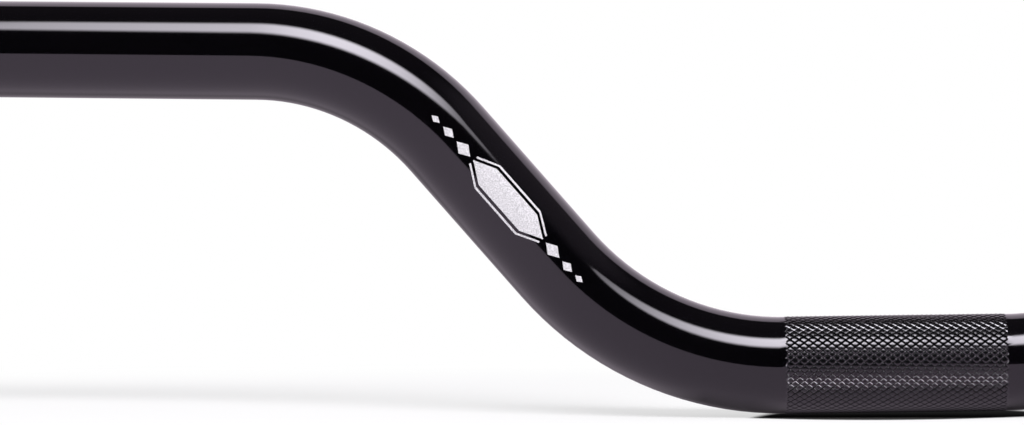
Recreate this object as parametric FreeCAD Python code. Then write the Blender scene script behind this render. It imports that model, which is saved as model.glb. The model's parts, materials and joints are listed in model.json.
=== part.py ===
import FreeCAD, Part
import math
import os

# A one-piece BMX race handlebar: a single steel tube, bent four times and knurled where the stem grips it.
# The frame has its origin at the middle of the clamp, +X along the clamp to one side, +Y back to the rider
# and +Z up. The -X half mirrors the +X half.

# Driving dimensions, in millimetres and degrees
BAR_WIDTH = 590.55  # between the middles of the two cut ends
BAR_RISE = 76.2  # from the clamp's centre line up to the middles of the cut ends
TUBE_DIAMETER = 22.2
TUBE_WALL = 1.2
LEG_ANGLE = 49.4  # slope of the two uprights
BACKSWEEP = 9.0  # how far each grip turns back towards the rider
UPSWEEP = 1.0  # how far each grip rises towards its end
LOWER_BEND_RADIUS = 68.0  # bends are measured at the tube's centre line
UPPER_BEND_RADIUS = 58.0
KNURL_LENGTH = 51.0  # fills the straight run between the two lower bends
KNURL_RAISE = 0.15  # height of the rolled crests above the plain tube
KNURL_RUNOUT = 0.3  # length of the slope at each end of the knurl
END_CHAMFER = 0.25  # deburred edge, inside and outside each cut end

# Sizes that follow from the driving dimensions
TUBE_RADIUS = TUBE_DIAMETER / 2
BORE_RADIUS = TUBE_RADIUS - TUBE_WALL
KNURL_END = KNURL_LENGTH / 2

CLAMP_AXIS = FreeCAD.Vector(1, 0, 0)


def bar_corners():
    """Corners of the +X half's centre line before bending: lower bend, upper bend and cut end."""
    slope, back, up = (math.radians(angle) for angle in (LEG_ANGLE, BACKSWEEP, UPSWEEP))
    leg = FreeCAD.Vector(math.cos(slope), 0, math.sin(slope))
    grip = FreeCAD.Vector(math.cos(back) * math.cos(up), math.sin(back) * math.cos(up), math.sin(up))
    lower = CLAMP_AXIS * (KNURL_END + LOWER_BEND_RADIUS * math.tan(slope / 2))
    # The upright and the grip together make up the rise, and with the clamp they make up half the width.
    run_per_rise = leg.x / leg.z
    grip_run = (BAR_WIDTH / 2 - lower.x - BAR_RISE * run_per_rise) / (grip.x - grip.z * run_per_rise)
    leg_run = (BAR_RISE - grip_run * grip.z) / leg.z
    upper = lower + leg * leg_run
    return lower, upper, upper + grip * grip_run


def mirrored(point):
    return FreeCAD.Vector(-point.x, point.y, point.z)


def bend_arc(before, corner, after, radius):
    """The arc of that radius that rounds a corner, tangent to the straight runs on both sides."""
    way_in = (corner - before).normalize()
    way_out = (after - corner).normalize()
    half_turn = way_in.getAngle(way_out) / 2
    setback = radius * math.tan(half_turn)
    inwards = (way_out - way_in).normalize()
    middle = corner + inwards * (radius / math.cos(half_turn) - radius)
    return Part.Arc(corner - way_in * setback, middle, corner + way_out * setback)


def centre_line():
    """The tube's centre line from the -X end to the +X end: five straight runs joined by four bends."""
    lower, upper, end = bar_corners()
    corners = [mirrored(end), mirrored(upper), mirrored(lower), lower, upper, end]
    radii = [UPPER_BEND_RADIUS, LOWER_BEND_RADIUS, LOWER_BEND_RADIUS, UPPER_BEND_RADIUS]
    bends = [bend_arc(*corners[i : i + 3], radius) for i, radius in enumerate(radii)]
    edges = []
    start = corners[0]
    for bend in bends:
        edges.append(Part.LineSegment(start, bend.StartPoint).toShape())
        edges.append(bend.toShape())
        start = bend.EndPoint
    edges.append(Part.LineSegment(start, corners[-1]).toShape())
    return Part.Wire(edges)


def bent_tube(path):
    """The tube's ring section carried along the centre line."""
    first = path.OrderedEdges[0]
    start, direction = first.valueAt(first.FirstParameter), first.tangentAt(first.FirstParameter)
    rims = [Part.Wire(Part.makeCircle(radius, start, direction)) for radius in (TUBE_RADIUS, BORE_RADIUS)]
    section = Part.Face(rims, "Part::FaceMakerBullseye")
    return path.makePipe(section)


def knurl_band():
    """The knurl as the ring that its crests fill, with sloping ends, rooted in the middle of the tube's wall."""
    crest = TUBE_RADIUS + KNURL_RAISE
    root = TUBE_RADIUS - TUBE_WALL / 2
    outline = [
        (-KNURL_END, root),
        (-KNURL_END, TUBE_RADIUS),
        (KNURL_RUNOUT - KNURL_END, crest),
        (KNURL_END - KNURL_RUNOUT, crest),
        (KNURL_END, TUBE_RADIUS),
        (KNURL_END, root),
    ]
    points = [FreeCAD.Vector(along, 0, out) for along, out in outline]
    half_section = Part.Face(Part.makePolygon(points + points[:1]))
    return half_section.revolve(FreeCAD.Vector(), CLAMP_AXIS, 360)


def end_rims(bar, path):
    """The inner and outer edges of the two cut ends."""
    ends = [vertex.Point for vertex in (path.OrderedVertexes[0], path.OrderedVertexes[-1])]
    circles = [edge for edge in bar.Edges if isinstance(edge.Curve, Part.Circle)]
    return [edge for edge in circles if any(edge.Curve.Center.isEqual(end, END_CHAMFER) for end in ends)]


def handlebar():
    path = centre_line()
    bar = bent_tube(path).fuse(knurl_band()).removeSplitter()
    deburred = bar.makeChamfer(END_CHAMFER, end_rims(bar, path))
    return deburred.Solids[0]


os.makedirs("parts", exist_ok=True)
handlebar().exportStep("parts/handlebar.step")
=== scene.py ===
import json
import math

import bpy
import numpy as np
from mathutils import Matrix, Vector


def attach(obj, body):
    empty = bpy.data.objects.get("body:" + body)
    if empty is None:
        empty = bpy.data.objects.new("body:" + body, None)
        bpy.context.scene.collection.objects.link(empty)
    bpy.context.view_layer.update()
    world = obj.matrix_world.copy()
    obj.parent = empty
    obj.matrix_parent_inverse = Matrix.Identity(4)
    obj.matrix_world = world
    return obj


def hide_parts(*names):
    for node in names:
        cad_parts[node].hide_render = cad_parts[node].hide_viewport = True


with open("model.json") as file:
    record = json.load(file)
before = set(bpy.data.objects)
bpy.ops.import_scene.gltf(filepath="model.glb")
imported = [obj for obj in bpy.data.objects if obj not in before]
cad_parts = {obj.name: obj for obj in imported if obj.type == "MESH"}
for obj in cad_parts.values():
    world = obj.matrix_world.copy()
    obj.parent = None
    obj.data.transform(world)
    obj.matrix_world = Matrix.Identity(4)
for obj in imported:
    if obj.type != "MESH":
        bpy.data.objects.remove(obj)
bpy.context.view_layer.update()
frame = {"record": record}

# A BMX race handlebar: one steel tube, bent four times, knurled at the clamp and painted gloss black.
# +X runs along the clamp, +Y back to the rider, +Z up. Lengths in the dictionaries are millimetres.

scene = bpy.context.scene
scene.view_settings.view_transform = "Standard"
mm = 0.001
fullTurn = 2 * math.pi
mounts = {mount["name"]: mount for mount in frame["record"]["mounts"]}


# Helpers

def linear(hexColour):
    # sRGB hex to linear RGBA
    parts = np.array([int(hexColour[i:i + 2], 16) for i in (1, 3, 5)]) / 255
    curved = ((parts + 0.055) / 1.055) ** 2.4
    return (*np.where(parts > 0.04045, curved, parts / 12.92), 1.0)


def addNode(tree, kind, inputs, **settings):
    # an input that is another node's output gets linked, any other value is set
    node = tree.nodes.new(kind)
    for name, value in settings.items():
        setattr(node, name, value)
    for key, value in inputs.items():
        if isinstance(value, bpy.types.NodeSocket):
            tree.links.new(value, node.inputs[key])
        else:
            node.inputs[key].default_value = value
    return node


def newMaterial(name):
    material = bpy.data.materials.new(name)
    material.use_nodes = True
    material.node_tree.nodes.clear()
    return material, material.node_tree


def newObject(name, points, faces, materials):
    mesh = bpy.data.meshes.new(name)
    mesh.from_pydata(points, [], faces)
    mesh.polygons.foreach_set("use_smooth", np.ones(len(faces), dtype=bool))
    for material in materials:
        mesh.materials.append(material)
    piece = bpy.data.objects.new(name, mesh)
    scene.collection.objects.link(piece)
    return piece


def addAttribute(piece, name, values):
    attribute = piece.data.attributes.new(name, "FLOAT", "POINT")
    attribute.data.foreach_set("value", np.asarray(values, dtype=np.float32))


# Materials

# Gloss black paint, sprayed and baked: deep black with mirror-like highlights. Its orange peel gives the
# highlights a slightly wavy edge. It is a little duller on the knurl. There its specular level paints a
# highlight on the flanks and a shade at the bottoms of the grooves, which hardly reflect at all.
paintLook = {
    "colour": "#020203",
    "thinColour": "#040305",
    "roughness": 0.055,
    "roughnessSpread": 0.02,
    "knurlRoughness": 0.12,
    "shine": 0.5,          # specular level on the plain tube and the tops of the knurl
    # Specular levels that paint a highlight on the knurl's flanks and a shade at the bottoms of its grooves
    "paintedFlankShine": 1.0,
    "paintedGrooveShade": 0.02,
    "flankFull": 0.3,      # share of a groove's depth from which the flank shines most
    "grooveFade": (0.38, 0.66),            # shares of the depth between which the shine goes
    "ior": 1.58,
    "sheen": "#f9f3ff",    # tint of its reflections
    "peelSize": 1.6,
    "peelHeight": 0.0016,
    "cloudSize": 22.0,
    "cloudRange": (0.3, 0.7),              # of the noise, over the spread of roughness
}


def makePaint():
    material, tree = newMaterial("glossBlackPaint")
    place = addNode(tree, "ShaderNodeTexCoord", {}).outputs["Object"]
    cloud = addNode(tree, "ShaderNodeTexNoise", {
        "Vector": place, "Scale": 1 / (paintLook["cloudSize"] * mm), "Detail": 3.0}).outputs["Fac"]
    peel = addNode(tree, "ShaderNodeTexNoise", {
        "Vector": place, "Scale": 1 / (paintLook["peelSize"] * mm), "Detail": 1.0}).outputs["Fac"]
    colour = addNode(tree, "ShaderNodeMix", {
        0: cloud, 6: linear(paintLook["colour"]), 7: linear(paintLook["thinColour"])}, data_type="RGBA")
    smooth = addNode(tree, "ShaderNodeMapRange", {
        "Value": cloud, "From Min": paintLook["cloudRange"][0], "From Max": paintLook["cloudRange"][1],
        "To Min": paintLook["roughness"], "To Max": paintLook["roughness"] + paintLook["roughnessSpread"]})
    knurled = addNode(tree, "ShaderNodeAttribute", {}, attribute_name="knurled").outputs["Fac"]
    roughness = addNode(tree, "ShaderNodeMath", {
        0: knurled, 1: paintLook["knurlRoughness"], 2: smooth.outputs["Result"]}, operation="MULTIPLY_ADD")
    groove = addNode(tree, "ShaderNodeAttribute", {}, attribute_name="groove").outputs["Fac"]
    # Painted highlight on the flanks and painted shade in the groove bottoms, through the specular level
    flank = addNode(tree, "ShaderNodeMapRange", {
        "Value": groove, "From Max": paintLook["flankFull"], "To Min": paintLook["shine"],
        "To Max": paintLook["paintedFlankShine"]})
    shine = addNode(tree, "ShaderNodeMapRange", {
        "Value": groove, "From Min": paintLook["grooveFade"][0], "From Max": paintLook["grooveFade"][1],
        "To Min": flank.outputs["Result"], "To Max": paintLook["paintedGrooveShade"]})
    bump = addNode(tree, "ShaderNodeBump", {
        "Height": peel, "Strength": 1.0, "Distance": paintLook["peelHeight"] * mm})
    paint = addNode(tree, "ShaderNodeBsdfPrincipled", {
        "Base Color": colour.outputs[2], "Roughness": roughness.outputs[0], "IOR": paintLook["ior"],
        "Specular IOR Level": shine.outputs["Result"], "Specular Tint": linear(paintLook["sheen"]),
        "Normal": bump.outputs["Normal"]})
    addNode(tree, "ShaderNodeOutputMaterial", {"Surface": paint.outputs[0]})
    return material


# Cold-drawn steel, bare inside the tube: grey, clouded with brown oxide, and a mist of black paint that thins
# out inwards from the cut ends.
boreLook = {
    "colour": "#8a8580",
    "oxideColour": "#4b423a",
    "mistColour": "#0c0a0d",
    "mistReach": 16.0,
    "mistFade": (0.6, 1.5),                # shares of its reach between which it thins out
    "mistGrain": 1.1,
    "stainSize": 9.0,
    "roughness": 0.38,
    "mistRoughness": 0.5,
}


def makeBore():
    material, tree = newMaterial("drawnSteelBore")
    place = addNode(tree, "ShaderNodeTexCoord", {}).outputs["Object"]
    stain = addNode(tree, "ShaderNodeTexNoise", {
        "Vector": place, "Scale": 1 / (boreLook["stainSize"] * mm), "Detail": 5.0}).outputs["Fac"]
    grain = addNode(tree, "ShaderNodeTexNoise", {
        "Vector": place, "Scale": 1 / (boreLook["mistGrain"] * mm), "Detail": 2.0}).outputs["Fac"]
    depth = addNode(tree, "ShaderNodeAttribute", {}, attribute_name="endDepth").outputs["Fac"]
    ragged = addNode(tree, "ShaderNodeMath", {
        0: grain, 1: boreLook["mistReach"], 2: depth}, operation="MULTIPLY_ADD")
    thinning = addNode(tree, "ShaderNodeMapRange", {
        "Value": ragged.outputs[0], "From Min": boreLook["mistFade"][0] * boreLook["mistReach"],
        "From Max": boreLook["mistFade"][1] * boreLook["mistReach"], "To Min": 1.0, "To Max": 0.0})
    mist = thinning.outputs["Result"]
    steel = addNode(tree, "ShaderNodeMix", {
        0: stain, 6: linear(boreLook["colour"]), 7: linear(boreLook["oxideColour"])}, data_type="RGBA")
    colour = addNode(tree, "ShaderNodeMix", {
        0: mist, 6: steel.outputs[2], 7: linear(boreLook["mistColour"])}, data_type="RGBA")
    metallic = addNode(tree, "ShaderNodeMath", {0: 1.0, 1: mist}, operation="SUBTRACT")
    roughness = addNode(tree, "ShaderNodeMapRange", {
        "Value": mist, "To Min": boreLook["roughness"], "To Max": boreLook["mistRoughness"]})
    bore = addNode(tree, "ShaderNodeBsdfPrincipled", {
        "Base Color": colour.outputs[2], "Metallic": metallic.outputs[0],
        "Roughness": roughness.outputs["Result"]})
    addNode(tree, "ShaderNodeOutputMaterial", {"Surface": bore.outputs[0]})
    return material


# Silver screen-printing ink: pale grey and satin, with the sparkle of its aluminium flakes. Real flakes are
# about 0.05 mm, too fine to show here, so they are drawn about six times as coarse.
inkLook = {
    "colour": "#d4d1d6",
    "flakeColour": "#a09da3",
    "flakeSize": 0.3,
    "flakeHeight": 0.004,
    "flakeRange": (0.35, 0.7),             # of the noise, from the ink's colour to the flakes'
    "roughness": 0.42,
}


def makeInk():
    material, tree = newMaterial("silverScreenInk")
    place = addNode(tree, "ShaderNodeTexCoord", {}).outputs["Object"]
    flakes = addNode(tree, "ShaderNodeTexNoise", {
        "Vector": place, "Scale": 1 / (inkLook["flakeSize"] * mm), "Detail": 2.0}).outputs["Fac"]
    spread = addNode(tree, "ShaderNodeMapRange", {
        "Value": flakes, "From Min": inkLook["flakeRange"][0], "From Max": inkLook["flakeRange"][1]})
    colour = addNode(tree, "ShaderNodeMix", {
        0: spread.outputs["Result"], 6: linear(inkLook["colour"]), 7: linear(inkLook["flakeColour"])},
        data_type="RGBA")
    bump = addNode(tree, "ShaderNodeBump", {
        "Height": flakes, "Strength": 1.0, "Distance": inkLook["flakeHeight"] * mm})
    ink = addNode(tree, "ShaderNodeBsdfPrincipled", {
        "Base Color": colour.outputs[2], "Roughness": inkLook["roughness"],
        "Normal": bump.outputs["Normal"]})
    addNode(tree, "ShaderNodeOutputMaterial", {"Surface": ink.outputs[0]})
    return material


# Centre line of the bar

bar = {
    "legAngle": 49.4,      # slope of the uprights, degrees
    "knurlRunout": 0.3,    # slope at each end of the knurl
    "endRound": 0.25,      # rounding of the deburred ends
    "rimPoints": 8,        # in that rounding
    "rimGuard": 4.0,       # roundings from the rim to the ring that keeps the tube's side straight
    "rimFlat": 1.3,        # roundings from the tube's side to the flat of the rim
    "aroundOutside": 120,
    "aroundBore": 60,
    "sharpAngle": 17.0,    # edges that turn more than this many degrees stay sharp
    "bendStep": 2.5,       # degrees between two rings in a bend
    "straightStep": 16.0,
    "leastStep": 0.5,      # between the last two rings
    "knurlGap": 1.5,       # from the knurl to the first plain ring
}

grip = mounts["right_grip"]
gripMiddle = np.array(grip["pos_m"]) / mm
gripAxis = np.array(grip["axis"])
gripLength = grip["dims"]["length_mm"]
tubeRadius = grip["dims"]["r_mm"]
boreRadius = mounts["right_end_bore"]["dims"]["r_mm"]
crestRadius = mounts["stem_clamp"]["dims"]["r_mm"]
knurlHalf = mounts["stem_clamp"]["dims"]["length_mm"] / 2 + bar["knurlRunout"]

# The grip's line meets the upright's plane at the upper corner, and the upright's slope gives the lower one.
legTurn = math.radians(bar["legAngle"])
legAxis = np.array([math.cos(legTurn), 0, math.sin(legTurn)])
gripStart = gripMiddle - gripAxis * gripLength / 2
upperCorner = gripMiddle - gripAxis * gripMiddle[1] / gripAxis[1]
lowerCorner = upperCorner - legAxis * upperCorner[2] / legAxis[2]
gripTurn = math.acos(legAxis @ gripAxis)
upperSetback = np.linalg.norm(gripStart - upperCorner)
lowerSetback = lowerCorner[0] - knurlHalf
upperBend = upperSetback / math.tan(gripTurn / 2)
lowerBend = lowerSetback / math.tan(legTurn / 2)
legLength = np.linalg.norm(upperCorner - lowerCorner) - lowerSetback - upperSetback
upperAxis = np.cross(legAxis, gripAxis) / math.sin(gripTurn)

# Each run of the +X half: its length, the axis that it bends about and its whole turn
noAxis = np.zeros(3)
runs = [
    (knurlHalf, noAxis, 0.0),
    (lowerBend * legTurn, np.array([0.0, -1.0, 0.0]), legTurn),
    (legLength, noAxis, 0.0),
    (upperBend * gripTurn, upperAxis, gripTurn),
    (gripLength + bar["endRound"], noAxis, 0.0),
]
runEnds = np.cumsum([run[0] for run in runs])
halfLength = runEnds[-1]
legMiddle = (runEnds[1] + runEnds[2]) / 2
print("centre line: bends of", round(lowerBend, 2), "and", round(upperBend, 2), "mm, length",
      round(2 * halfLength, 2), "mm")


def turnAbout(arrow, axis, angle):
    # Arrow turned about an axis: cos(angle) times the arrow, sin(angle) times the cross product of axis and
    # arrow, and 1 - cos(angle) times the arrow's part along the axis
    return (np.cos(angle) * arrow + np.sin(angle) * np.cross(axis, arrow)
            + (1 - np.cos(angle)) * axis * (axis @ arrow))


def carryAlong(distance):
    # Point, direction and up arrow at signed distances from the clamp's middle. A straight run adds its
    # length along its direction. In a bend of radius r and turn a, the point moves by r sin(a) forwards and
    # r (1 - cos(a)) sideways, and both arrows turn about the bend's axis. The -X half mirrors the +X half.
    far = np.abs(distance)
    point = np.zeros(far.shape + (3,))
    way = np.zeros(far.shape + (3,))
    up = np.zeros(far.shape + (3,))
    startWay = np.array([1.0, 0.0, 0.0])
    startUp = np.array([0.0, 0.0, 1.0])
    start = 0.0
    for length, axis, turn in runs:
        gone = np.clip(far - start, 0, length)[..., None]
        angle = gone / length * turn
        if turn:
            side = np.cross(axis, startWay)
            point += length / turn * (np.sin(angle) * startWay + (1 - np.cos(angle)) * side)
        else:
            point += gone * startWay
        here = (far >= start)[..., None]
        way = np.where(here, turnAbout(startWay, axis, angle), way)
        up = np.where(here, turnAbout(startUp, axis, angle), up)
        startWay, startUp = (turnAbout(arrow, axis, turn) for arrow in (startWay, startUp))
        start += length
    left = (distance < 0)[..., None]
    point = np.where(left, point * (-1, 1, 1), point)
    way = np.where(left, way * (1, -1, -1), way)
    up = np.where(left, up * (-1, 1, 1), up)
    return point, way, up


def onTube(distance, turn, radius):
    # Point at a distance along the bar, a turn about its centre line (0 up, a quarter to the front) and a
    # radius: centre + radius * (cos(turn) * up + sin(turn) * front).
    point, way, up = carryAlong(distance)
    front = np.cross(way, up)
    return point + radius[..., None] * (np.cos(turn)[..., None] * up + np.sin(turn)[..., None] * front)


# Bar tube

knurl = {
    "around": 40,          # diamonds round the tube
    "along": 24,           # diamonds along the clamp
    "twist": 0.14,         # degrees that a row of diamonds turns in each millimetre
    "depth": 0.19,         # of the grooves, below the rims of the tops
    # The knurling wheel leaves one flank of each groove steep and the other one gentle. The places are shares
    # of the space between two grooves, and the drops are shares of the depth.
    "steepPlace": 0.055,
    "steepDrop": 0.53,
    "topStart": 0.14,
    "topMiddle": 0.4525,
    "topEnd": 0.765,
    "gentlePlace": 0.96,
    "gentleDrop": 0.695,
    "crown": 0.1,          # rise of a top towards its middle
}
# Grid lines in one space between grooves: its bottom, a bend in its steep flank, three on a diamond's top and
# a bend in its gentle flank
cellKeys = ("steepPlace", "topStart", "topMiddle", "topEnd", "gentlePlace")
cellPlaces = np.array([0, *(knurl[key] for key in cellKeys)])
cellDrops = np.array([1, knurl["steepDrop"], 0, 0, 0, knurl["gentleDrop"]])
middleLine = 1 + cellKeys.index("topMiddle")
cellLines = len(cellPlaces)
aroundKnurl = knurl["around"] * cellLines
knurlMiddle = knurl["along"] * cellLines


def twistAt(distance):
    # Turn of the knurl's rows, in proportion to the distance, which the plain tube takes over from its ends
    return np.radians(knurl["twist"]) * np.clip(distance, -knurlHalf, knurlHalf)


def knurlGrid():
    # The grid follows two families of helical grooves, u = n turn + x / pitch and v = n turn - x / pitch,
    # which are whole numbers along the grooves. So x = pitch (u - v) / 2, turn = (u + v) / 2n, and the
    # surface drops by the deeper of the two grooves. All but the middles of the tops lie a crown lower. Both
    # ends run out to the plain tube.
    ring, point = np.meshgrid(np.arange(2 * knurlMiddle + 1), np.arange(aroundKnurl), indexing="ij")
    lineV = point - (ring - knurlMiddle) // 2
    lineU = lineV + ring - knurlMiddle
    u, v = (line // cellLines + cellPlaces[line % cellLines] for line in (lineU, lineV))
    drop = np.maximum(cellDrops[lineU % cellLines], cellDrops[lineV % cellLines])
    isMiddle = (lineU % cellLines == middleLine) & (lineV % cellLines == middleLine)
    lower = knurl["depth"] * drop + knurl["crown"] * ~isMiddle
    x = knurlHalf / knurl["along"] * (u - v)
    turn = fullTurn / knurl["around"] * (u + v) / 2
    runout = np.clip((knurlHalf - np.abs(x)) / bar["knurlRunout"], 0, 1)
    radius = tubeRadius + runout * (crestRadius - tubeRadius - lower)
    return x, turn + twistAt(x), radius, runout, drop * runout


def knurlFaces(start):
    # Quads between neighbouring lines of both families, cut to triangles along the two end rings
    def corner(ring, lineV):
        return start + ring * aroundKnurl + (lineV + (ring - knurlMiddle) // 2) % aroundKnurl

    last = 2 * knurlMiddle
    ring, line = np.meshgrid(np.arange(1, last), np.arange(aroundKnurl), indexing="ij")
    quads = [corner(ring, line), corner(ring - 1, line + 1), corner(ring, line + 1), corner(ring + 1, line)]
    line = np.arange(aroundKnurl)
    first = [corner(0, line), corner(0, line + 1), corner(1, line)]
    final = [corner(last, line), corner(last - 1, line + 1), corner(last, line + 1)]
    faces = []
    for part in (quads, first, final):
        faces += np.stack(part, axis=-1).reshape(-1, len(part)).tolist()
    return faces


def ringsBetween(first, last):
    # Distances of the rings from first to last: close in the bends, wide on the straight runs
    marks = [first]
    start = 0.0
    for (length, _, turn), end in zip(runs, runEnds):
        step = math.radians(bar["bendStep"]) / turn * length if turn else bar["straightStep"]
        marks.extend(np.linspace(start, end, math.ceil(length / step) + 1)[1:])
        start = end
    marks = np.array(marks)
    return np.append(marks[(marks >= first) & (marks < last - bar["leastStep"])], last)


def quadFaces(start, rings, around):
    # Quads between neighbouring rings of one grid, closed round the tube
    ring, point = np.meshgrid(np.arange(rings - 1), np.arange(around), indexing="ij")
    following = (point + 1) % around
    corners = [ring * around + point, ring * around + following,
               (ring + 1) * around + following, (ring + 1) * around + point]
    return start + np.stack(corners, axis=-1).reshape(-1, 4)


def seamFaces(startA, aroundA, startB, aroundB):
    # Faces that join a ring to one with a multiple, or a share, of its points
    count = min(aroundA, aroundB)
    stepA, stepB = aroundA // count, aroundB // count
    face = np.arange(count)[:, None]
    edgeA = startA + (face * stepA + np.arange(stepA + 1)) % aroundA
    edgeB = startB + (face * stepB + np.arange(stepB, -1, -1)) % aroundB
    return np.concatenate([edgeA, edgeB], axis=1)


def tubeGrid(distances, radii, around):
    # Distances along the bar by equal turns about it, with one radius for each ring
    distance, turn = np.meshgrid(distances, np.arange(around) / around * fullTurn, indexing="ij")
    radius = np.broadcast_to(np.asarray(radii, dtype=float)[:, None], distance.shape)
    return distance, turn + twistAt(distance), radius


def wallProfile(first, radius, intoWall):
    # Distances and radii of the rings on one side of the wall, from a first distance to the +X end. Past the
    # plain tube they go over the rim on a quarter circle, by r sin(turn) along the bar and r (1 - cos(turn))
    # into the wall.
    rounding = bar["endRound"]
    turn = np.linspace(0, math.pi / 2, bar["rimPoints"])[1:]
    plain = ringsBetween(first, halfLength - rounding)
    plain = np.append(plain[:-1], [plain[-1] - bar["rimGuard"] * rounding, plain[-1]])
    rim = np.append(halfLength - rounding * (1 - np.sin(turn)), halfLength)
    sunk = rounding * np.append(1 - np.cos(turn), bar["rimFlat"])
    return np.append(plain, rim), radius + intoWall * np.append(np.zeros(len(plain)), sunk)


def makeBar(paint, steel):
    # The wall's profile runs outside from the -X end to the +X end, over the rim and back through the bore.
    outside, inside = bar["aroundOutside"], bar["aroundBore"]
    outer, outerRadius = wallProfile(knurlHalf + bar["knurlGap"], tubeRadius, -1)
    inner, innerRadius = wallProfile(0.0, boreRadius, 1)
    innerBoth = np.concatenate([inner[::-1], -inner[1:]])
    innerBothRadius = np.concatenate([innerRadius[::-1], innerRadius[1:]])

    knurlDistance, knurlTurn, knurlRadius, knurled, groove = knurlGrid()
    grids = [
        tubeGrid(-outer[::-1], outerRadius[::-1], outside),
        (knurlDistance, knurlTurn, knurlRadius),
        tubeGrid(outer, outerRadius, outside),
        tubeGrid(innerBoth, innerBothRadius, inside),
    ]
    points = np.concatenate([onTube(*grid).reshape(-1, 3) for grid in grids]) * mm
    shapes = [grid[0].shape for grid in grids]
    starts = np.cumsum([0] + [rings * around for rings, around in shapes])

    faces = []
    boreFaces = []
    for number, (rings, around) in enumerate(shapes):
        isKnurl, isBore = number == 1, number == 3
        start = starts[number]
        made = knurlFaces(start) if isKnurl else quadFaces(start, rings, around).tolist()
        following = (number + 1) % len(grids)
        lastRing = start + (rings - 1) * around
        seam = seamFaces(lastRing, around, starts[following], shapes[following][1]).tolist()
        faces += made + seam
        boreFaces += [isBore] * len(made) + [False] * len(seam)

    piece = newObject("barTube", points, faces, [paint, steel])
    piece.data.polygons.foreach_set("material_index", np.array(boreFaces, dtype=np.int32))
    piece.data.set_sharp_from_angle(angle=math.radians(bar["sharpAngle"]))
    depth = [halfLength - np.abs(grid[0]).ravel() for grid in grids]
    addAttribute(piece, "endDepth", np.concatenate(depth))
    for name, share in (("knurled", knurled), ("groove", groove)):
        values = np.zeros(len(points))
        values[starts[1]:starts[2]] = share.ravel()
        addAttribute(piece, name, values)
    print("bar tube:", len(points), "points,", sum(len(face) - 2 for face in faces), "triangles")
    return piece


# Upright print

# A long lozenge between two fine lines, with a row of shrinking diamonds at each end
uprightPrint = {
    "turn": 82.0,          # about the centre line, degrees from the top
    "coreLength": 24.0,
    "coreWidth": 5.6,
    "coreTaper": 0.42,     # share of the half length that narrows to the tip
    "lineGap": 1.0,
    "lineWidth": 0.5,
    "diamondLength": 4.6,
    "diamondWidth": 3.0,
    "diamondGap": 1.1,
    "diamondShrink": 0.72,
    "diamondCount": 3,
    "bluntness": 0.04,     # share of the width that a tip keeps
    "thickness": 0.03,
    "stepsAlong": 49,
    "stepsAcross": 9,
    "sharpAngle": 40.0,
}


def printShell(middle, length, offset, halfWidth):
    # A closed skin on the tube: along it u goes from -1 to 1, and at each u it reaches its half width to
    # both sides of its offset. Its outer face stands a thickness proud, and its inner face is sunk as deep.
    u = np.linspace(-1, 1, len(offset))
    v = np.linspace(-1, 1, uprightPrint["stepsAcross"])
    across = offset[:, None] + halfWidth[:, None] * np.concatenate([v, v[::-1]])
    level = np.repeat([uprightPrint["thickness"], -uprightPrint["thickness"]], len(v))
    distance = np.broadcast_to((middle + u * length / 2)[:, None], across.shape)
    turn = math.radians(uprightPrint["turn"]) + across / tubeRadius
    points = onTube(distance, turn, np.broadcast_to(tubeRadius + level, across.shape)).reshape(-1, 3) * mm
    around = 2 * len(v)
    pair = np.arange(len(v) - 1)
    cap = np.stack([pair, around - 1 - pair, around - 2 - pair, pair + 1], axis=-1)
    farCap = cap[:, ::-1] + (len(u) - 1) * around
    return points, np.concatenate([quadFaces(0, len(u), around), cap, farCap])


def makePrint(ink):
    # Half widths along u: the lozenge narrows to its tips over the taper, a diamond from its middle on, and
    # a line keeps its own and follows the lozenge's edge at the gap.
    along = np.linspace(-1, 1, uprightPrint["stepsAlong"])
    level = np.zeros(len(along))
    blunt = uprightPrint["bluntness"]
    core = uprightPrint["coreWidth"] / 2 * np.clip((1 - np.abs(along)) / uprightPrint["coreTaper"], blunt, 1)
    line = np.full(len(along), uprightPrint["lineWidth"] / 2)
    diamond = uprightPrint["diamondWidth"] / 2 * np.clip(1 - np.abs(along), blunt, 1)
    shells = [printShell(-legMiddle, uprightPrint["coreLength"], level, core)]
    for side in (-1, 1):
        offset = side * (core + uprightPrint["lineGap"])
        shells.append(printShell(-legMiddle, uprightPrint["coreLength"], offset, line))
        reach = uprightPrint["coreLength"] / 2
        for number in range(uprightPrint["diamondCount"]):
            size = uprightPrint["diamondShrink"] ** number
            length = size * uprightPrint["diamondLength"]
            reach += uprightPrint["diamondGap"] + length / 2
            shells.append(printShell(side * reach - legMiddle, length, level, size * diamond))
            reach += length / 2
    starts = np.cumsum([0] + [len(shell[0]) for shell in shells])
    points = np.concatenate([shell[0] for shell in shells])
    faces = np.concatenate([shell[1] + start for shell, start in zip(shells, starts)])
    piece = newObject("uprightPrint", points, faces.tolist(), [ink])
    piece.data.set_sharp_from_angle(angle=math.radians(uprightPrint["sharpAngle"]))
    print("upright print:", len(shells), "shells")
    return piece


paintMaterial = makePaint()
boreMaterial = makeBore()
inkMaterial = makeInk()

barTube = makeBar(paintMaterial, boreMaterial)
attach(barTube, "root")
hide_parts("handlebar")

printPiece = makePrint(inkMaterial)
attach(printPiece, "root")


# Studio: white sheet, white wall behind, one long soft box above and a strip of light at each side

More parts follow.
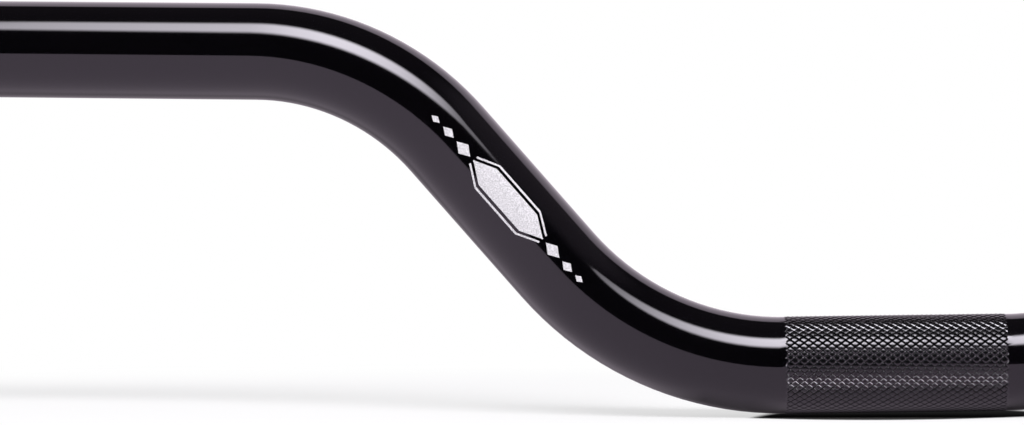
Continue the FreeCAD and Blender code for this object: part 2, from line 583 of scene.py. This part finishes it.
paperFloor = {
    "floorFront": -530.0,  # where the white sheet ends, in front of the bar
    "floorBack": 1500.0,
    "floorSide": 1800.0,
    "floorWhite": "#f6f4f8",
    "floorDrop": 0.9,      # gap under the clamp
    "floorTilt": -0.74,    # the bar leans a little on its bends, degrees
    "floorGlow": 0.64,     # share of its white that the shadow leaves
    "shadowReach": (480.0, 190.0),
    "shadowFade": 0.6,     # share of the reach where it starts to fade
    # The dark shadow under the clamp is painted into the paper, between two bowed edges. Each has its middle
    # along X, its bow at a distance from there, the power of the bow, and where it starts and ends to fade
    # along Y.
    "contactFront": (-6.0, -13.8, 2.0, -10.0, -14.0),
    "contactBack": (4.0, 43.0, 4.0, 22.0, 34.0),
    "contactBowAt": 40.0,
    # grey of the paper in the painted shadow under the clamp
    "paintedContactShade": 0.05,
    "mirrorTint": "#fff1ff",               # of the paper and the wall in the paint
    "mirrorDim": 0.78,     # the paper's mirrored white at the clamp
    "mirrorDimReach": 160.0,               # along -X
    # Behind the bar its mirrored white fades to a share, a painted shadow of the bar as seen in the paint,
    # and at the clamp it is dimmed by painted shade. The pairs are for the lower bends and the grips, and at
    # the clamp the fade starts further back.
    "behindStart": (-10.0, 36.0),
    "behindEnd": (-1.0, 81.0),
    "behindBetween": (45.0, 135.0),        # distances along X from the one to the other
    "behindDim": (0.03, 0.5),
    "behindDimBetween": (22.0, 60.0),
    "clampShift": 4.5,
    "clampShiftBetween": (23.0, 33.0),
}


def tintMirrored(tree, path):
    # White to the camera, and the mirror's tint to glossy surfaces
    tint = addNode(tree, "ShaderNodeMix", {
        0: path.outputs["Is Glossy Ray"], 6: (1, 1, 1, 1), 7: linear(paperFloor["mirrorTint"])},
        data_type="RGBA")
    return tint.outputs[2]


def shadowEdge(tree, x, y, edge):
    # 0 in the painted shadow and 1 past its edge, by y + bow * ((x - middle) / distance)^power
    middle, bow, power, start, end = edge
    along = addNode(tree, "ShaderNodeMath", {0: x, 1: middle * mm}, operation="SUBTRACT")
    share = addNode(tree, "ShaderNodeMath", {
        0: along.outputs[0], 1: paperFloor["contactBowAt"] * mm}, operation="DIVIDE")
    raised = addNode(tree, "ShaderNodeMath", {0: share.outputs[0], 1: power}, operation="POWER")
    bowed = addNode(tree, "ShaderNodeMath", {
        0: raised.outputs[0], 1: bow * mm, 2: y}, operation="MULTIPLY_ADD")
    return addNode(tree, "ShaderNodeMapRange", {
        "Value": bowed.outputs[0], "From Min": start * mm, "From Max": end * mm},
        interpolation_type="SMOOTHSTEP").outputs["Result"]


def mirroredWhite(tree, x, y):
    # How white the floor looks in the paint, with painted shade: a little dim at the clamp, and fading behind
    # the bar, where the start, the end and the depth of the fade change with the distance from the clamp
    # along X
    dim = addNode(tree, "ShaderNodeMapRange", {
        "Value": x, "From Min": -paperFloor["mirrorDimReach"] * mm, "From Max": 0.0, "To Min": 1.0,
        "To Max": paperFloor["mirrorDim"]}, interpolation_type="SMOOTHSTEP")
    beside = addNode(tree, "ShaderNodeMath", {0: x}, operation="ABSOLUTE").outputs[0]
    steps = {}
    for name, between, (near, far) in (
            ("start", "behindBetween", np.multiply(paperFloor["behindStart"], mm)),
            ("end", "behindBetween", np.multiply(paperFloor["behindEnd"], mm)),
            ("shift", "clampShiftBetween", (paperFloor["clampShift"] * mm, 0.0)),
            ("lowest", "behindDimBetween", paperFloor["behindDim"])):
        steps[name] = addNode(tree, "ShaderNodeMapRange", {
            "Value": beside, "From Min": paperFloor[between][0] * mm, "From Max": paperFloor[between][1] * mm,
            "To Min": near, "To Max": far}).outputs["Result"]
    start = addNode(tree, "ShaderNodeMath", {0: steps["start"], 1: steps["shift"]}, operation="ADD")
    behind = addNode(tree, "ShaderNodeMapRange", {
        "Value": y, "From Min": start.outputs[0], "From Max": steps["end"], "To Min": 1.0,
        "To Max": steps["lowest"]}, interpolation_type="SMOOTHSTEP")
    return addNode(tree, "ShaderNodeMath", {
        0: dim.outputs["Result"], 1: behind.outputs["Result"]}, operation="MULTIPLY").outputs[0]


def makePaper():
    # Matt white paper: an even white, greyer in the bar's soft shadow and nearly black right under the clamp,
    # where that shadow is painted into its colour. It glows white to the camera and in the paint, and only
    # from above. In the paint its white is dimmed by painted shade at the clamp and behind the bar.
    material, tree = newMaterial("whitePaperSheet")
    place = addNode(tree, "ShaderNodeTexCoord", {}).outputs["Object"]
    path = addNode(tree, "ShaderNodeLightPath", {})
    parts = addNode(tree, "ShaderNodeSeparateXYZ", {0: place})
    x, y = parts.outputs["X"], parts.outputs["Y"]
    # Distance from the clamp over the floor, 1 at the reaches along X and Y
    shares = addNode(tree, "ShaderNodeVectorMath", {
        0: place, 1: [1 / (reach * mm) for reach in paperFloor["shadowReach"]] + [0.0]}, operation="MULTIPLY")
    away = addNode(tree, "ShaderNodeVectorMath", {0: shares.outputs["Vector"]}, operation="LENGTH")
    fade = addNode(tree, "ShaderNodeMapRange", {
        "Value": away.outputs["Value"], "From Min": paperFloor["shadowFade"],
        "To Min": paperFloor["floorGlow"]}, interpolation_type="SMOOTHSTEP")
    edges = [shadowEdge(tree, x, y, paperFloor[name]) for name in ("contactFront", "contactBack")]
    paintedShadowMask = addNode(tree, "ShaderNodeMath", {0: edges[0], 1: edges[1]}, operation="MAXIMUM").outputs[0]
    # Under the clamp the painted shadow also takes away the glow
    glow = addNode(tree, "ShaderNodeMath", {0: fade.outputs["Result"], 1: paintedShadowMask}, operation="MULTIPLY")
    seen = addNode(tree, "ShaderNodeMath", {
        0: path.outputs["Is Camera Ray"], 1: glow.outputs[0]}, operation="MULTIPLY")
    share = addNode(tree, "ShaderNodeMath", {
        0: path.outputs["Is Glossy Ray"], 1: seen.outputs[0]}, operation="MAXIMUM")
    level = addNode(tree, "ShaderNodeMix", {
        "Factor": path.outputs["Is Glossy Ray"], "A": 1.0, "B": mirroredWhite(tree, x, y)}, data_type="FLOAT")
    # Painted shadow: the paper's colour goes to a dark grey under the clamp
    shade = addNode(tree, "ShaderNodeMix", {
        0: paintedShadowMask, 6: (paperFloor["paintedContactShade"],) * 3 + (1.0,), 7: linear(paperFloor["floorWhite"])},
        data_type="RGBA")
    paper = addNode(tree, "ShaderNodeBsdfDiffuse", {"Color": shade.outputs[2]})
    white = addNode(tree, "ShaderNodeEmission", {
        "Color": tintMirrored(tree, path), "Strength": level.outputs["Result"]})
    top = addNode(tree, "ShaderNodeMixShader", {
        0: share.outputs[0], 1: paper.outputs[0], 2: white.outputs[0]})
    clear = addNode(tree, "ShaderNodeBsdfTransparent", {})
    under = addNode(tree, "ShaderNodeNewGeometry", {}).outputs["Backfacing"]
    sheet = addNode(tree, "ShaderNodeMixShader", {0: under, 1: top.outputs[0], 2: clear.outputs[0]})
    addNode(tree, "ShaderNodeOutputMaterial", {"Surface": sheet.outputs[0]})
    return material


def makeFloor():
    # Flat sheet under the clamp, turned about Y by the floor's tilt
    sides = [-paperFloor["floorSide"], paperFloor["floorSide"]]
    x, y = np.meshgrid(sides, [paperFloor["floorFront"], paperFloor["floorBack"]])
    z = -crestRadius - paperFloor["floorDrop"] + x * math.tan(math.radians(paperFloor["floorTilt"]))
    points = np.stack([x, y, z], axis=-1).reshape(-1, 3) * mm
    newObject("floorSheet", points, [(0, 1, 3, 2)], [makePaper()])


studioLights = {
    "boxDistance": 520.0,
    "boxElevation": 57.9,
    "boxTurn": 15.0,       # its +X end hangs lower, degrees
    "boxWidth": 285.0,
    "boxSoftEdge": 0.30,   # share of its width
    "boxMiddle": -60.0,    # along its length
    "boxHalfLength": 410.0,
    "boxCut": 0.79,        # share of the half length that is left at its -X end
    "boxSoftEnd": 45.0,
    "boxRoundness": 2.7,   # 2 is an ellipse, more is squarer
    "boxTip": 0.98,        # share of a quarter turn at its +X end, where it is nearly pointed
    "boxSteps": (81, 33),
    "boxGlow": 14.8,
    "boxGlowMiddle": -75.0,
    "boxFade": 310.0,
    "lampDistance": 1000.0,
    "lampElevation": 49.0,
    "lampWatts": 11.9,
    "lampLength": 1100.0,
    "lampWidth": 330.0,
    # Two side strips: top end, bottom end and glow
    "leftStrip": ((-510.0, -335.0, 448.0), (-536.0, -450.0, 285.0), 9.0),
    "rightStrip": ((562.0, -270.0, 426.0), (595.0, -417.0, 196.0), 18.0),
    "stripWidth": 120.0,
}


def towards(elevation):
    # Direction up from the front
    lift = math.radians(elevation)
    return np.array([0.0, -math.cos(lift), math.sin(lift)])


def makeGlowPanel(name, points, glow, material):
    # A grid of points that only glossy surfaces see
    rows, columns = glow.shape
    row, column = np.meshgrid(np.arange(rows - 1), np.arange(columns - 1), indexing="ij")
    corners = (row * columns + column).reshape(-1, 1) + [0, 1, columns + 1, columns]
    panel = newObject(name, points.reshape(-1, 3) * mm, corners.tolist(), [material])
    addAttribute(panel, "glow", glow.ravel())
    panel.visible_camera = False
    panel.visible_diffuse = False
    panel.visible_transmission = False
    panel.visible_shadow = False


def makeCloth():
    # White nylon diffuser cloth, lit from behind: a glow with no grain, as bright as the panel's attribute
    material, tree = newMaterial("diffuserCloth")
    glow = addNode(tree, "ShaderNodeAttribute", {}, attribute_name="glow").outputs["Fac"]
    cloth = addNode(tree, "ShaderNodeEmission", {"Color": (1, 1, 1, 1), "Strength": glow})
    addNode(tree, "ShaderNodeOutputMaterial", {"Surface": cloth.outputs[0]})
    return material


def makeSoftBox(cloth):
    # A flat panel with rounded ends, square to the line from the clamp. At a share u of its half length, its
    # width is its full width times (1 - |u|^n)^(1/n), and its glow falls off from the middle like a bell.
    toBox = towards(studioLights["boxElevation"])
    turn = math.radians(studioLights["boxTurn"])
    level = np.array([1.0, 0.0, 0.0])
    rising = np.cross(toBox, level)
    alongBox = math.cos(turn) * level - math.sin(turn) * rising
    acrossBox = math.sin(turn) * level + math.cos(turn) * rising
    stepsAlong, stepsAcross = studioLights["boxSteps"]
    tip = studioLights["boxTip"] * math.pi / 2
    places = np.sin(np.linspace(-math.asin(studioLights["boxCut"]), tip, stepsAlong))
    share, side = np.meshgrid(places, np.linspace(-0.5, 0.5, stepsAcross), indexing="ij")
    along = studioLights["boxMiddle"] + studioLights["boxHalfLength"] * share
    across = studioLights["boxWidth"] * side * (
        1 - np.abs(share) ** studioLights["boxRoundness"]) ** (1 / studioLights["boxRoundness"])
    points = studioLights["boxDistance"] * toBox + along[..., None] * alongBox + across[..., None] * acrossBox
    bell = np.exp(-((along - studioLights["boxGlowMiddle"]) / studioLights["boxFade"]) ** 2)
    edge = np.clip((0.5 - np.abs(side)) / studioLights["boxSoftEdge"], 0, 1)
    edge = edge ** 2 * (3 - 2 * edge)
    end = np.clip((along - along.min()) / studioLights["boxSoftEnd"], 0, 1)
    makeGlowPanel("softBox", points, studioLights["boxGlow"] * bell * edge * end, cloth)


def makeStrips(cloth):
    # Flat strips that face the clamp and light the steep flanks of the knurl
    for name in ("leftStrip", "rightStrip"):
        top, bottom, glow = studioLights[name]
        top, bottom = np.array(top), np.array(bottom)
        aside = np.cross(top - bottom, top + bottom)
        aside *= studioLights["stripWidth"] / 2 / np.linalg.norm(aside)
        points = np.array([[bottom - aside, bottom + aside], [top - aside, top + aside]])
        makeGlowPanel(name, points, np.full((2, 2), glow), cloth)


def makeLamp():
    # Lights all but the glossy reflections, at a plain level
    lamp = bpy.data.lights.new("softBoxLamp", "AREA")
    lamp.shape = "RECTANGLE"
    lamp.size = studioLights["lampLength"] * mm
    lamp.size_y = studioLights["lampWidth"] * mm
    lamp.energy = studioLights["lampWatts"]
    lampObject = bpy.data.objects.new("softBoxLamp", lamp)
    toLamp = towards(studioLights["lampElevation"])
    lampObject.location = studioLights["lampDistance"] * mm * toLamp
    lampObject.rotation_euler = Vector(-toLamp).to_track_quat("-Z", "Y").to_euler()
    lampObject.visible_glossy = False
    scene.collection.objects.link(lampObject)


studioRoom = {
    "wallSlope": 1.2,      # top edge of the wall, height over distance
    "wallBlur": 0.07,
    "darkFront": 0.012,
    "darkCeiling": 0.05,
    "darkSide": 0.14,      # added towards +X
    "ceilingBetween": (0.6, 0.95),         # sine of the direction upwards
    "sideBetween": (0.55, 0.78),           # sine of the direction towards +X
    "ambient": 0.40,
}


def makeWorld():
    # The camera sees white. Glossy surfaces see a white wall behind, up to its sloping sight line, and a dark
    # room above and in front, a little lighter to the +X side. Everything else gets plain ambient light.
    world = bpy.data.worlds.new("studioRoom")
    world.use_nodes = True
    tree = world.node_tree
    tree.nodes.clear()
    look = addNode(tree, "ShaderNodeTexCoord", {}).outputs["Generated"]
    below = addNode(tree, "ShaderNodeVectorMath", {0: look, 1: (0.0, studioRoom["wallSlope"], -1.0)},
                    operation="DOT_PRODUCT")
    wall = addNode(tree, "ShaderNodeMapRange", {
        "Value": below.outputs["Value"], "From Min": -studioRoom["wallBlur"],
        "From Max": studioRoom["wallBlur"]}, interpolation_type="SMOOTHSTEP")
    parts = addNode(tree, "ShaderNodeSeparateXYZ", {0: look})
    dark = addNode(tree, "ShaderNodeMapRange", {
        "Value": parts.outputs["Z"], "From Min": studioRoom["ceilingBetween"][0],
        "From Max": studioRoom["ceilingBetween"][1], "To Min": studioRoom["darkFront"],
        "To Max": studioRoom["darkCeiling"]})
    side = addNode(tree, "ShaderNodeMapRange", {
        "Value": parts.outputs["X"], "From Min": studioRoom["sideBetween"][0],
        "From Max": studioRoom["sideBetween"][1], "To Max": studioRoom["darkSide"]},
        interpolation_type="SMOOTHSTEP")
    dim = addNode(tree, "ShaderNodeMath", {
        0: dark.outputs["Result"], 1: side.outputs["Result"]}, operation="ADD")
    room = addNode(tree, "ShaderNodeMix", {
        "Factor": wall.outputs["Result"], "A": dim.outputs[0], "B": 1.0}, data_type="FLOAT")
    path = addNode(tree, "ShaderNodeLightPath", {})
    straight = addNode(tree, "ShaderNodeMath", {
        0: path.outputs["Is Camera Ray"], 1: path.outputs["Is Transmission Ray"]}, operation="MAXIMUM")
    lit = addNode(tree, "ShaderNodeMix", {
        "Factor": path.outputs["Is Glossy Ray"], "A": studioRoom["ambient"], "B": room.outputs["Result"]},
        data_type="FLOAT")
    light = addNode(tree, "ShaderNodeMix", {
        "Factor": straight.outputs[0], "A": lit.outputs["Result"], "B": 1.0}, data_type="FLOAT")
    sky = addNode(tree, "ShaderNodeBackground", {
        "Color": tintMirrored(tree, path), "Strength": light.outputs["Result"]})
    addNode(tree, "ShaderNodeOutputWorld", {"Surface": sky.outputs[0]})
    scene.world = world


clothMaterial = makeCloth()
makeFloor()
makeSoftBox(clothMaterial)
makeStrips(clothMaterial)
makeLamp()
makeWorld()
print("studio: floor, soft box, side strips and room")


# Camera

photoCamera = {
    "target": (-87.518, 0.0, 35.947),
    "azimuth": -0.629,     # degrees, positive towards +X
    "elevation": 2.641,
    "roll": -0.741,
    "distance": 2000.0,
    "lens": 306.47,
    "sensorWidth": 36.0,
    "clipEnd": 100000.0,
}


def makeCamera():
    # Looks at the target from a distance, turned by the azimuth, lifted by the elevation and then rolled
    azimuth, elevation = (math.radians(photoCamera[key]) for key in ("azimuth", "elevation"))
    back = Vector((math.sin(azimuth) * math.cos(elevation), -math.cos(azimuth) * math.cos(elevation),
                   math.sin(elevation)))
    right = Vector((0, 0, 1)).cross(back).normalized()
    turned = Matrix((right, back.cross(right), back)).transposed()
    turned = turned @ Matrix.Rotation(math.radians(photoCamera["roll"]), 3, "Z")
    data = bpy.data.cameras.new("photoCamera")
    data.sensor_fit = "HORIZONTAL"
    data.sensor_width = photoCamera["sensorWidth"]
    data.lens = photoCamera["lens"]
    data.clip_end = photoCamera["clipEnd"] * mm
    camera = bpy.data.objects.new("photoCamera", data)
    place = Vector(photoCamera["target"]) * mm + back * photoCamera["distance"] * mm
    camera.matrix_world = Matrix.Translation(place) @ turned.to_4x4()
    scene.collection.objects.link(camera)
    scene.camera = camera


makeCamera()
print("camera in place")
